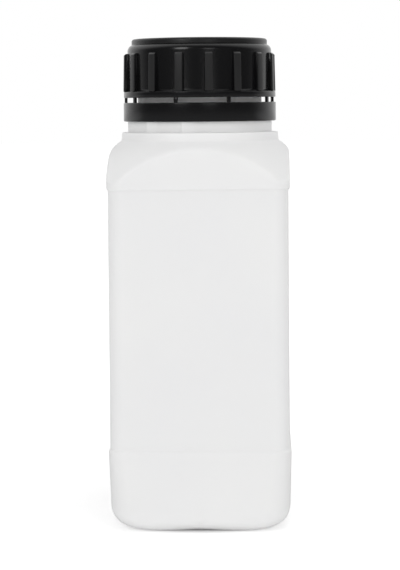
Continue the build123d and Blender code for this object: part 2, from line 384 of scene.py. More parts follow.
PLATEAU_DRAW = 0.25
PLATEAU_EDGE = 0.45
PLATEAU_BLEND = 1.0  # hollow rounding between the dome and the plateau
COLLAR_BLEND = 0.35
TOOTH_RISE = 0.65
BEAD_LAND = 0.5
BEAD_CREST = 0.25
BEAD_BLEND = 0.3
ROOF_HIGH = 0.5  # the roof inside the collar slopes from this far under its top
ROOF_LOW = 2.8  # to this far under it
ROOF_BLEND = 1.2
NECK_EDGE = 0.5  # rounding of the sealing rim and of the collar's top
FINE_EDGE = 0.2  # rounding of thin lips


def dome_height(radius, inset=0.0):
    """Height of the dome at a distance from the axis."""
    return dome_centre + math.sqrt((DOME_RADIUS - inset) ** 2 - radius**2)


def teeth():
    """How far the ratchet teeth stand out, in each direction."""
    rise = np.zeros(len(around))
    for steep in TOOTH_ANGLES:
        behind = (np.degrees(around) + 90 - steep) % 360
        rise = np.maximum(rise, TOOTH_RISE * (1 - behind / TOOTH_LENGTH))
    return np.maximum(rise, 0)


NECK_START = 29.4  # radius where the round profile takes over from the dome
INNER_START = 26.0  # the same on the inside

neck_profile = rounded(
    (
        (NECK_START, dome_height(NECK_START), 0),
        (PLATEAU_RADIUS, plateau_foot, PLATEAU_BLEND),
        (PLATEAU_RADIUS - PLATEAU_DRAW, plateau_top, PLATEAU_EDGE),
        (COLLAR_RADIUS, plateau_top, COLLAR_BLEND),
        (COLLAR_RADIUS, collar_top, NECK_EDGE),
        (NECK_RADIUS, collar_top, NECK_EDGE),
        (NECK_RADIUS, bead_bottom, FINE_EDGE),
        (BEAD_RADIUS, bead_bottom, FINE_EDGE),
        (BEAD_RADIUS, bead_bottom + BEAD_LAND, BEAD_CREST),
        (NECK_RADIUS, bead_top, BEAD_BLEND),
        (NECK_RADIUS, neck_top, NECK_EDGE),
        (neck_bore, neck_top, NECK_EDGE),
        (neck_bore, collar_top - ROOF_HIGH, ROOF_BLEND),
        (collar_bore, collar_top - ROOF_LOW, ROOF_BLEND),
        (collar_bore, dome_height(collar_bore, BODY_WALL), NECK_EDGE),
        (INNER_START, dome_height(INNER_START, BODY_WALL), 0),
    )
)


def neck_rings():
    """Round rings of the neck, with the ratchet teeth on the collar."""
    tooth = teeth()
    rings = []
    for radius, height in neck_profile:
        on_collar = plateau_top - 0.01 < height < collar_top - 0.4
        outside = COLLAR_RADIUS - 0.1 < radius < COLLAR_RADIUS + 0.5
        rings.append((radius + tooth if on_collar and outside else radius, height))
    return rings


print(f"{len(neck_profile)} rings round the neck, with {len(TOOTH_ANGLES)} ratchet teeth")

# %% [markdown]
# Outside, over the rim and back down the inside: the rings in this order make one closed wall.
# Each ring that the dome cuts carries the dome's radius as an attribute, for the tree that does
# the cutting.

# %% The whole bottle


def bottle_rings():
    """All rings in order, with the dome's radius for those that the dome cuts."""
    outside = below_shoulder
    shoulder = shoulder_rings(0, dome_height(NECK_START))
    inner_shoulder = shoulder_rings(BODY_WALL, dome_height(INNER_START, BODY_WALL))[::-1]
    inside = side_rings(BODY_WALL)[::-1] + base_round_rings(BODY_WALL)[::-1]
    inside += push_up_rings(BODY_WALL)[::-1]
    neck = neck_rings()
    rings = outside + shoulder + neck + inner_shoulder + inside
    dome = [0.0] * len(outside) + [DOME_RADIUS] * len(shoulder) + [0.0] * len(neck)
    dome += [DOME_RADIUS - BODY_WALL] * len(inner_shoulder) + [0.0] * len(inside)
    return rings, dome


rings, dome_of_ring = bottle_rings()
bottle_shell = shell("bottle_shell", rings, around)
dome_values = np.repeat(dome_of_ring, len(around)) * MM
dome_values = np.concatenate([dome_values, [0.0, 0.0]])
attribute = bottle_shell.data.attributes.new("dome_radius", "FLOAT", "POINT")
attribute.data.foreach_set("value", dome_values)
print(f"bottle: {len(rings)} rings, {len(bottle_shell.data.polygons)} faces")

# %% [markdown]
# ## Materials
#
# Blown polyethylene is white all through, satin, and has a very fine grain from the mould with
# slow waves under it. The cap is black polypropylene from a polished mould; only the ribs' outer
# faces and the disc are a little rougher. One node group makes the grain for all of them, with its
# scale and depth as inputs.

# %% Node group for moulded grain


def new_group(name, kind, inputs, outputs):
    """Node group with named sockets; returns the group and its two end nodes."""
    group = bpy.data.node_groups.new(name, kind)
    for label, socket, value in inputs:
        made = group.interface.new_socket(label, in_out="INPUT", socket_type=socket)
        if value is not None:
            made.default_value = value
    for label, socket in outputs:
        group.interface.new_socket(label, in_out="OUTPUT", socket_type=socket)
    return group, group.nodes.new("NodeGroupInput"), group.nodes.new("NodeGroupOutput")


def math_node(tree, operation, first, second=None, third=None):
    """Math node; each value is a number or an output socket."""
    node = tree.nodes.new("ShaderNodeMath")
    node.operation = operation
    for slot, value in enumerate((first, second, third)):
        if value is None:
            continue
        if hasattr(value, "links"):
            tree.links.new(value, node.inputs[slot])
        else:
            node.inputs[slot].default_value = value
    return node.outputs[0]


def grain_group():
    """Height of a moulded surface: fine grain on slow waves."""
    group, start, end = new_group(
        "Moulded grain",
        "ShaderNodeTree",
        (
            ("Grain scale", "NodeSocketFloat", 2500.0),
            ("Grain depth", "NodeSocketFloat", 0.01),
            ("Wave scale", "NodeSocketFloat", 60.0),
            ("Wave depth", "NodeSocketFloat", 0.02),
        ),
        (("Height", "NodeSocketFloat"),),
    )
    place = group.nodes.new("ShaderNodeTexCoord")
    fine = group.nodes.new("ShaderNodeTexNoise")
    slow = group.nodes.new("ShaderNodeTexNoise")
    fine.inputs["Detail"].default_value = 3.0
    slow.inputs["Detail"].default_value = 1.0
    group.links.new(place.outputs["Object"], fine.inputs["Vector"])
    group.links.new(place.outputs["Object"], slow.inputs["Vector"])
    group.links.new(start.outputs["Grain scale"], fine.inputs["Scale"])
    group.links.new(start.outputs["Wave scale"], slow.inputs["Scale"])
    grain = math_node(group, "MULTIPLY", fine.outputs["Fac"], start.outputs["Grain depth"])
    waves = math_node(group, "MULTIPLY", slow.outputs["Fac"], start.outputs["Wave depth"])
    group.links.new(math_node(group, "ADD", grain, waves), end.inputs["Height"])
    return group


moulded_grain = grain_group()
print(f"{moulded_grain.name}: {len(moulded_grain.nodes)} nodes")

# %% [markdown]
# Each plastic is a Principled shader with that grain as a bump. What differs is its colour, how
# polished it is, and a mask of its own. The white of the bottle has slow clouds where its wall
# varies.

# %% White plastic of the bottle


def plastic(name, color, roughness, grain):
    """Material with a moulded grain as its bump, and its tree and shader to extend."""
    material = bpy.data.materials.new(name)
    material.use_nodes = True
    tree = material.node_tree
    shader = tree.nodes["Principled BSDF"]
    shader.inputs["Base Color"].default_value = (*color, 1)
    shader.inputs["Roughness"].default_value = roughness
    height = tree.nodes.new("ShaderNodeGroup")
    height.node_tree = moulded_grain
    for label, value in grain.items():
        height.inputs[label].default_value = value
    bump = tree.nodes.new("ShaderNodeBump")
    bump.inputs["Strength"].default_value = 1.0
    bump.inputs["Distance"].default_value = MM
    tree.links.new(height.outputs["Height"], bump.inputs["Height"])
    tree.links.new(bump.outputs["Normal"], shader.inputs["Normal"])
    return material, tree, shader


def white_polyethylene():
    """Satin white body, a trace warmer and cooler in slow clouds where the wall varies."""
    grain = {"Grain scale": 3000.0, "Grain depth": 0.006, "Wave scale": 45.0, "Wave depth": 0.05}
    material, tree, shader = plastic("white_polyethylene", (0.83, 0.83, 0.83), 0.42, grain)
    place = tree.nodes.new("ShaderNodeTexCoord")
    clouds = tree.nodes.new("ShaderNodeTexNoise")
    clouds.inputs["Scale"].default_value = 25.0
    clouds.inputs["Detail"].default_value = 2.0
    tree.links.new(place.outputs["Object"], clouds.inputs["Vector"])
    ramp = tree.nodes.new("ShaderNodeValToRGB")
    ramp.color_ramp.elements[0].position = 0.3
    ramp.color_ramp.elements[1].position = 0.7
    ramp.color_ramp.elements[0].color = (0.825, 0.825, 0.83, 1)
    ramp.color_ramp.elements[1].color = (0.845, 0.845, 0.84, 1)
    tree.links.new(clouds.outputs["Fac"], ramp.inputs["Fac"])
    tree.links.new(ramp.outputs["Color"], shader.inputs["Base Color"])
    rough = tree.nodes.new("ShaderNodeMapRange")
    rough.inputs["To Min"].default_value = 0.38
    rough.inputs["To Max"].default_value = 0.46
    tree.links.new(clouds.outputs["Fac"], rough.inputs["Value"])
    tree.links.new(rough.outputs["Result"], shader.inputs["Roughness"])
    shader.inputs["IOR"].default_value = 1.5
    shader.inputs["Subsurface Weight"].default_value = 0.2
    shader.inputs["Subsurface Radius"].default_value = (0.002, 0.002, 0.002)
    shader.inputs["Subsurface Scale"].default_value = 1.0
    return material


bottle_white = white_polyethylene()
print(f"{bottle_white.name}: {len(bottle_white.node_tree.nodes)} nodes")

# %% [markdown]
# The cap comes polished from its mould and is rubbed dull where fingers and other bottles touch
# it. Those faces also get a slightly lighter black, a painted sheen. They are found by their
# distance from the axis and their height, so the cap's main sizes come first.

# %% Black plastic of the cap, and the foam under it

CAP_WALL = 1.85
DISC_HEIGHT = 1.95
FLANGE_HEIGHT = 2.4

cap_bore = liner_radius + SEAT_GAP
cap_skirt = cap_bore + CAP_WALL
disc_foot = cap_top - DISC_HEIGHT
flange_top = cap_bottom + FLANGE_HEIGHT


def black_polypropylene():
    """Polished black; the ribs' outer faces, furthest from the axis, and the disc are duller, and
    a lighter black on them is a painted sheen.
    """
    grain = {"Grain scale": 2200.0, "Grain depth": 0.004, "Wave scale": 90.0, "Wave depth": 0.02}
    material, tree, shader = plastic("black_polypropylene", (0.0045, 0.0045, 0.005), 0.2, grain)
    place = tree.nodes.new("ShaderNodeTexCoord")
    axes = tree.nodes.new("ShaderNodeSeparateXYZ")
    tree.links.new(place.outputs["Object"], axes.inputs["Vector"])
    squares = math_node(tree, "MULTIPLY", axes.outputs["X"], axes.outputs["X"])
    squares = math_node(tree, "MULTIPLY_ADD", axes.outputs["Y"], axes.outputs["Y"], squares)
    radius = math_node(tree, "SQRT", squares)
    # faces furthest from the axis: rougher, and given a lighter black below as a painted sheen
    far_out_dull_and_sheen = tree.nodes.new("ShaderNodeMapRange")
    far_out_dull_and_sheen.inputs["From Min"].default_value = (cap_skirt + 1.1) * MM
    far_out_dull_and_sheen.inputs["From Max"].default_value = (cap_skirt + 1.25) * MM
    tree.links.new(radius, far_out_dull_and_sheen.inputs["Value"])
    above = math_node(tree, "GREATER_THAN", axes.outputs["Z"], flange_top * MM)
    ribs = math_node(tree, "MULTIPLY", far_out_dull_and_sheen.outputs["Result"], above)
    on_disc = math_node(tree, "GREATER_THAN", axes.outputs["Z"], disc_foot * MM)
    disc = math_node(tree, "MULTIPLY", on_disc, 0.6)
    dull_and_painted_sheen = math_node(tree, "MAXIMUM", ribs, disc)
    tree.links.new(math_node(tree, "MULTIPLY_ADD", dull_and_painted_sheen, 0.25, 0.2), shader.inputs["Roughness"])
    # painted sheen: the duller rib faces and the disc get a lighter black
    shade = tree.nodes.new("ShaderNodeValToRGB")
    shade.color_ramp.elements[0].color = (0.0045, 0.0045, 0.005, 1)
    shade.color_ramp.elements[1].color = (0.0135, 0.0135, 0.014, 1)
    tree.links.new(dull_and_painted_sheen, shade.inputs["Fac"])
    tree.links.new(shade.outputs["Color"], shader.inputs["Base Color"])
    shader.inputs["IOR"].default_value = 1.49
    return material


def liner_foam():
    """Matte expanded foam with closed cells."""
    grain = {"Grain scale": 1800.0, "Grain depth": 0.08, "Wave scale": 120.0, "Wave depth": 0.05}
    return plastic("liner_foam", (0.78, 0.78, 0.75), 0.7, grain)[0]


cap_black = black_polypropylene()
foam_white = liner_foam()
for material in (cap_black, foam_white):
    print(f"{material.name}: {len(material.node_tree.nodes)} nodes")

# %% [markdown]
# ## The arched shoulder in Geometry Nodes
#
# Every tree here ends the same way: its copies become real geometry and get their material,
# because an export drops instances. Two helpers do that and keep the result as a plain mesh, with
# no modifier left.

# %% Helpers that finish and run a tree


def run_tree(piece, group, values, material):
    """Runs a Geometry Nodes group on a piece and keeps the result as its plain mesh."""
    modifier = piece.modifiers.new(group.name, "NODES")
    modifier.node_group = group
    values = {**values, "Material": material}
    for item in group.interface.items_tree:
        if item.item_type == "SOCKET" and item.in_out == "INPUT" and item.name in values:
            modifier[item.identifier] = values[item.name]
    bpy.context.view_layer.update()
    ready = piece.evaluated_get(bpy.context.evaluated_depsgraph_get())
    mesh = bpy.data.meshes.new_from_object(ready)
    piece.modifiers.remove(modifier)
    old = piece.data
    piece.data = mesh
    bpy.data.meshes.remove(old)
    mesh.name = piece.name
    mesh.polygons.foreach_set("use_smooth", [True] * len(mesh.polygons))
    mesh.set_sharp_from_angle(angle=math.radians(CREASE))
    print(f"{piece.name}: {len(mesh.polygons)} faces from {group.name}")
    return piece


def finish_tree(group, geometry, start, end):
    """Realize Instances and Set Material, then the output."""
    whole = group.nodes.new("GeometryNodeRealizeInstances")
    paint = group.nodes.new("GeometryNodeSetMaterial")
    group.links.new(geometry, whole.inputs["Geometry"])
    group.links.new(whole.outputs["Geometry"], paint.inputs["Geometry"])
    group.links.new(start.outputs["Material"], paint.inputs["Material"])
    group.links.new(paint.outputs["Geometry"], end.inputs["Geometry"])


print(f"{np.count_nonzero(dome_values)} of {len(dome_values)} points wait for the dome")

# %% [markdown]
# The shoulder is a dome that the four sides cut into arches. A tree does the cutting as a rule:
# every ring point that lies further out than the dome is pulled in to it, and a smooth minimum
# rounds the edge between the two. The attribute on the mesh says which points obey, and how large
# their dome is.

# %% Tree that pulls the shoulder in to the dome

ARCH_BLEND_LOW = 0.6  # how softly the dome runs into the sides at the corners
ARCH_BLEND_HIGH = 2.8  # and at the top of an arch


def arched_shoulder_tree():
    group, start, end = new_group(
        "Arched shoulder",
        "GeometryNodeTree",
        (
            ("Geometry", "NodeSocketGeometry", None),
            ("Dome centre", "NodeSocketFloat", 0.09),
            ("Arch foot", "NodeSocketFloat", 0.12),
            ("Arch top", "NodeSocketFloat", 0.134),
            ("Blend low", "NodeSocketFloat", 0.001),
            ("Blend high", "NodeSocketFloat", 0.003),
            ("Material", "NodeSocketMaterial", None),
        ),
        (("Geometry", "NodeSocketGeometry"),),
    )
    links = group.links
    place = group.nodes.new("GeometryNodeInputPosition")
    axes = group.nodes.new("ShaderNodeSeparateXYZ")
    links.new(place.outputs["Position"], axes.inputs["Vector"])
    x, y, z = axes.outputs
    y_square = math_node(group, "MULTIPLY", y, y)
    out = math_node(group, "SQRT", math_node(group, "MULTIPLY_ADD", x, x, y_square))
    dome = group.nodes.new("GeometryNodeInputNamedAttribute")
    dome.data_type = "FLOAT"
    dome.inputs["Name"].default_value = "dome_radius"
    dome_size = dome.outputs["Attribute"]
    rise = math_node(group, "SUBTRACT", z, start.outputs["Dome centre"])
    square = math_node(group, "MULTIPLY", dome_size, dome_size)
    under = math_node(group, "SUBTRACT", square, math_node(group, "MULTIPLY", rise, rise))
    dome_out = math_node(group, "SQRT", math_node(group, "MAXIMUM", under, 0.0))
    climb = group.nodes.new("ShaderNodeMapRange")
    links.new(z, climb.inputs["Value"])
    links.new(start.outputs["Arch foot"], climb.inputs["From Min"])
    links.new(start.outputs["Arch top"], climb.inputs["From Max"])
    share = math_node(group, "POWER", climb.outputs["Result"], 4.0)
    gain = math_node(group, "SUBTRACT", start.outputs["Blend high"], start.outputs["Blend low"])
    blend = math_node(group, "MULTIPLY_ADD", share, gain, start.outputs["Blend low"])
    least = math_node(group, "SMOOTH_MIN", out, dome_out, blend)
    share = math_node(group, "DIVIDE", least, out)
    moved = group.nodes.new("ShaderNodeCombineXYZ")
    links.new(math_node(group, "MULTIPLY", x, share), moved.inputs["X"])
    links.new(math_node(group, "MULTIPLY", y, share), moved.inputs["Y"])
    links.new(z, moved.inputs["Z"])
    shift = group.nodes.new("GeometryNodeSetPosition")
    links.new(start.outputs["Geometry"], shift.inputs["Geometry"])
    links.new(math_node(group, "GREATER_THAN", dome_size, 0.0), shift.inputs["Selection"])
    links.new(moved.outputs["Vector"], shift.inputs["Position"])
    finish_tree(group, shift.outputs["Geometry"], start, end)
    return group


run_tree(
    bottle_shell,
    arched_shoulder_tree(),
    {
        "Dome centre": dome_centre * MM,
        "Arch foot": step_top * MM,
        "Arch top": arch_top * MM,
        "Blend low": ARCH_BLEND_LOW * MM,
        "Blend high": ARCH_BLEND_HIGH * MM,
    },
    bottle_white,
)
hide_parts("bottle")
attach(bottle_shell, "bottle")

# %% [markdown]
# ## Cap, ring and sealing disc
#
# All three are turned pieces. Their small features are made once and repeated round the axis by a
# second tree: grip ribs on the cap, bridges and pawls on the ring. The cap's profile starts under
# its top, goes down the bore, round the flange and up over the rounding, which the raised disc
# cuts.

# %% Turned cap

CENTRE = 0.01  # profiles start this far from the axis, and the shell closes the rest
CAP_SHOULDER = 2.4  # rounding between the skirt and the raised disc
CAP_BORE_EDGE = 0.5
CAP_FOOT_EDGE = 0.3
DISC_SET = 1.5
DISC_EDGE = 0.9
FLANGE_SET = 0.1
FLANGE_SLOPE = 0.25
FLANGE_EDGE = 0.35
FLANGE_FOOT_EDGE = 0.25
FLANGE_BLEND = 0.7  # hollow rounding between the flange and the skirt

disc_radius = cap_skirt - DISC_SET
flange_radius = ring_radius - FLANGE_SET
round_centre = cap_skirt - CAP_SHOULDER, disc_foot - CAP_SHOULDER
cut = math.acos((disc_radius - round_centre[0]) / CAP_SHOULDER)  # where the disc cuts the rounding
shoulder = [
    (
        round_centre[0] + CAP_SHOULDER * math.cos(angle),
        round_centre[1] + CAP_SHOULDER * math.sin(angle),
        0,
    )
    for angle in np.linspace(0, cut, 9)
]

cap_shell = turned(
    "cap_shell",
    (
        (CENTRE, liner_top, 0),
        (cap_bore, liner_top, CAP_BORE_EDGE),
        (cap_bore, cap_bottom, CAP_FOOT_EDGE),
        (flange_radius, cap_bottom, FLANGE_FOOT_EDGE),
        (flange_radius, flange_top - FLANGE_SLOPE, FLANGE_EDGE),
        (cap_skirt, flange_top, FLANGE_BLEND),
        *shoulder,
        (disc_radius, cap_top, DISC_EDGE),
        (CENTRE, cap_top, 0),
    ),
)
print(f"{cap_shell.name}: {len(cap_shell.data.polygons)} faces, skirt {2 * cap_skirt:.1f} mm wide")

# %% [markdown]
# The ring is a thin band with a flap inside that leans up and in. The flap slips down over the
# bead when the cap is first screwed on, and can't come back up, so the ring stays behind when the
# cap is opened.

# %% Turned ring

RING_WALL = 0.75
RING_EDGE = 0.5  # rounding of its lower outer edge
RING_CREST = 0.35  # and of the upper one
RING_BORE_EDGE = 0.15
RING_LIP = 0.2  # small chamfer at the foot of the bore
FLAP_BLEND = 0.3
FLAP_THICKNESS = 0.8
FLAP_RISE = 1.4
FLAP_CATCH = 1.0

ring_bore = ring_radius - RING_WALL
flap_top = bead_bottom - SEAT_GAP
flap_root = flap_top - FLAP_RISE
flap_tip = BEAD_RADIUS - FLAP_CATCH
ring_shell = turned(
    "ring_shell",
    (
        (ring_bore, ring_bottom, 0),
        (ring_radius, ring_bottom, RING_EDGE),
        (ring_radius, ring_top, RING_CREST),
        (ring_bore, ring_top, RING_BORE_EDGE),
        (ring_bore, flap_root, FLAP_BLEND),
        (flap_tip, flap_top, FINE_EDGE),
        (flap_tip, flap_top - FLAP_THICKNESS, FINE_EDGE),
        (ring_bore, flap_root - FLAP_THICKNESS, FLAP_BLEND),
        (ring_bore, ring_bottom + RING_LIP, 0),
    ),
    loop=True,
)
print(f"{ring_shell.name}: {len(ring_shell.data.polygons)} faces, flap reaches {flap_tip:.1f} mm")

# %% [markdown]
# The sealing disc is plain foam. It lies under the top of the cap and is pressed on the rim of the
# neck.

# %% Sealing disc

LINER_EDGE = 0.15

sealing_disc = turned(
    "sealing_disc",
    (
        (CENTRE, liner_low.z, 0),
        (liner_radius, liner_low.z, LINER_EDGE),
        (liner_radius, liner_top, LINER_EDGE),
        (CENTRE, liner_top, 0),
    ),
)
print(f"{sealing_disc.name}: {len(sealing_disc.data.polygons)} faces")

# %% [markdown]
# A rib is a small bar with a straight outer face, a bevelled head and softened edges. Building it
# once and placing it with a tree keeps all sixteen alike, and a change to the bar reaches every
# one.

# %% Small bars and the tree that repeats them


def bar(name, side, width, soften):
    """Bar on +X from a side outline of (radius, height) points, with softened edges."""
    mesh = bpy.data.meshes.new(name)
    work = bmesh.new()
    near = [work.verts.new((r * MM, -width / 2 * MM, z * MM)) for r, z in side]
    far = [work.verts.new((r * MM, width / 2 * MM, z * MM)) for r, z in side]
    work.faces.new(near)
    work.faces.new(far[::-1])
    for k in range(len(side)):
        after = (k + 1) % len(side)
        work.faces.new((near[k], far[k], far[after], near[after]))
    bmesh.ops.recalc_face_normals(work, faces=work.faces)
    bmesh.ops.bevel(
        work, geom=work.edges[:], offset=soften * MM, segments=3, affect="EDGES", profile=0.5
    )
    work.to_mesh(mesh)
    work.free()
    return added(name, mesh)


def round_the_axis_tree():
    group, start, end = new_group(
        "Round the axis",
        "GeometryNodeTree",
        (
            ("Geometry", "NodeSocketGeometry", None),
            ("Count", "NodeSocketInt", 8),
            ("Phase", "NodeSocketFloat", 0.0),
            ("Material", "NodeSocketMaterial", None),
        ),
        (("Geometry", "NodeSocketGeometry"),),
    )
    links = group.links
    points = group.nodes.new("GeometryNodePoints")
    links.new(start.outputs["Count"], points.inputs["Count"])
    index = group.nodes.new("GeometryNodeInputIndex")
    step = math_node(group, "DIVIDE", 2 * math.pi, start.outputs["Count"])
    angle = math_node(group, "MULTIPLY_ADD", index.outputs["Index"], step, start.outputs["Phase"])
    turn = group.nodes.new("ShaderNodeCombineXYZ")
    links.new(angle, turn.inputs["Z"])
    place = group.nodes.new("GeometryNodeInstanceOnPoints")
    links.new(points.outputs[0], place.inputs["Points"])
    links.new(start.outputs["Geometry"], place.inputs["Instance"])
    links.new(turn.outputs["Vector"], place.inputs["Rotation"])
    finish_tree(group, place.outputs["Instances"], start, end)
    return group


round_the_axis = round_the_axis_tree()
print(f"{round_the_axis.name}: {len(round_the_axis.nodes)} nodes")


def repeated(piece, count, phase, material):
    """The piece repeated round the axis, its first copy at phase degrees from the front."""
    values = {"Count": count, "Phase": math.radians(phase - 90)}
    return run_tree(piece, round_the_axis, values, material)


# %% [markdown]
# The grip ribs stand on the flange and end in a bevel under the cap's rounding, where fingers
# slide off.

# %% Grip ribs

RIBS = 16
RIB_PHASE = 8.8  # degrees from the front
RIB_WIDTH = 2.75
RIB_RISE_FOOT = 1.6
RIB_RISE_HEAD = 1.35
RIB_HEAD = 5.2
RIB_BEVEL = 0.6
RIB_EDGE = 0.18

rib_foot = flange_top - FLANGE_SLOPE
rib_head = cap_top - RIB_HEAD
rib_root = cap_skirt - CAP_WALL / 3
grip_ribs = bar(
    "grip_ribs",
    (
        (rib_root, rib_foot),
        (cap_skirt + RIB_RISE_FOOT, rib_foot),
        (cap_skirt + RIB_RISE_HEAD, rib_head - RIB_BEVEL),
        (cap_skirt + RIB_RISE_HEAD - RIB_BEVEL, rib_head),
        (rib_root, rib_head),
    ),
    RIB_WIDTH,
    RIB_EDGE,
)
repeated(grip_ribs, RIBS, RIB_PHASE, cap_black)
print(f"{RIBS} ribs from {rib_foot:.1f} to {rib_head:.1f} mm")

# %% [markdown]
# Thin bridges hold the ring to the cap until it is opened. They are rooted in the ring, and they
# reach up to the underside of the flange.

# %% Bridges of the ring

BRIDGES = 9
BRIDGE_PHASE = 23.9  # degrees from the front
BRIDGE_WIDTH = 1.3
BRIDGE_DEPTH = 0.9
BRIDGE_ROOT = 0.6
BRIDGE_SET = 0.05  # the bridges stand this far inside the ring's outer face
BRIDGE_EDGE = 0.08

bridge_out = ring_radius - BRIDGE_SET
bridges = bar(
    "ring_bridges",
    (
        (bridge_out - BRIDGE_DEPTH, ring_top - BRIDGE_ROOT),
        (bridge_out, ring_top - BRIDGE_ROOT),
        (bridge_out, cap_bottom),
        (bridge_out - BRIDGE_DEPTH, cap_bottom),
    ),
    BRIDGE_WIDTH,
    BRIDGE_EDGE,
)
repeated(bridges, BRIDGES, BRIDGE_PHASE, cap_black)
print(f"{BRIDGES} bridges, {cap_bottom - ring_top:.1f} mm high above the ring")

# %% [markdown]
# A pawl inside the ring stands just ahead of each ratchet tooth of the collar. The teeth come in
# pairs on opposite sides, so each pawl of a pair is repeated twice round the axis.

# %% Pawls of the ring

PAWL_WIDTH = 1.2
PAWL_PLAY = 3.0  # degrees between a tooth's steep face and the pawl in front of it
PAWL_CLEARANCE = 0.35
PAWL_EDGE = 0.12

pawl_side = (
    (COLLAR_RADIUS + PAWL_CLEARANCE, ring_bottom + RING_LIP),
    (ring_bore + RING_WALL / 2, ring_bottom + RING_LIP),
    (ring_bore + RING_WALL / 2, collar_top),
    (COLLAR_RADIUS + PAWL_CLEARANCE, collar_top),
)
pawls = []
beside = math.degrees(PAWL_WIDTH / 2 / COLLAR_RADIUS)
for tooth in TOOTH_ANGLES[:2]:
    pair = bar("ring_pawls", pawl_side, PAWL_WIDTH, PAWL_EDGE)
    repeated(pair, 2, tooth - PAWL_PLAY - beside, cap_black)
    pawls.append(pair)
print(f"{2 * len(pawls)} pawls, {PAWL_CLEARANCE} mm clear of the collar")

# %% [markdown]
# ## Marks of the blow mould
#
# A blown bottle shows where its mould opened: a fine seam runs under the front and the back, and a
# scar crosses the raised middle of the base, where the mould pinched the soft tube shut. Both are
# short bars, and the seam's outline follows the rounding of the base.

# %% Mould seam under the front and back, and the pinched scar of the base

SEAM_WIDTH = 0.4
SEAM_RISE = 0.22
SEAM_EDGE = 0.05
SEAM_START, SEAM_END = 0.1, 1.0  # radians round the base rounding
PINCH_LENGTH = 26.0
PINCH_WIDTH = 1.2
PINCH_HEIGHT = 0.6
PINCH_EDGE = 0.3


def seam_point(angle, out):
    """Point on the base rounding at the seam, in radius and height, some way out of the wall."""
    height = BASE_ROUND - (BASE_ROUND + out) * math.cos(angle)
    half = half_foot - FOOT_DRAW * (1 - height / (FOOT_HEIGHT - FOOT_STEP))
    low = max(1 - height / PUSH_UP_HEIGHT, 0)
    return half - BASE_DRAW + (BASE_DRAW + out) * math.sin(angle), height + SEAM_RELIEF * low


seam_angles = np.linspace(SEAM_START, SEAM_END, 10)
seam_side = [seam_point(angle, SEAM_RISE) for angle in seam_angles]
seam_side += [seam_point(angle, -BODY_WALL / 2) for angle in seam_angles[::-1]]
mould_seam = bar("mould_seam", seam_side, SEAM_WIDTH, SEAM_EDGE)
repeated(mould_seam, 2, 0, bottle_white)

scar_top = PUSH_UP_HEIGHT + BODY_WALL / 2
scar_low = PUSH_UP_HEIGHT - PINCH_HEIGHT
base_scar = bar(
    "base_scar",
    (
        (-PINCH_LENGTH / 2, scar_top),
        (-PINCH_LENGTH / 2, scar_low),
        (PINCH_LENGTH / 2, scar_low),
        (PINCH_LENGTH / 2, scar_top),
    ),
    PINCH_WIDTH,
    PINCH_EDGE,
)
repeated(base_scar, 1, 0, bottle_white)
print(f"seam up to {seam_side[9][1]:.1f} mm, scar {PINCH_LENGTH:.0f} mm long")

# %% [markdown]
# ## The screw thread
#
# A thread is a ridge that climbs the neck at a steady pitch and runs out softly at both ends. In
# nodes it is a spiral curve that carries a trapezoid, shrunk towards the ends.

# %% Thread tree

THREAD_EDGE = 0.2


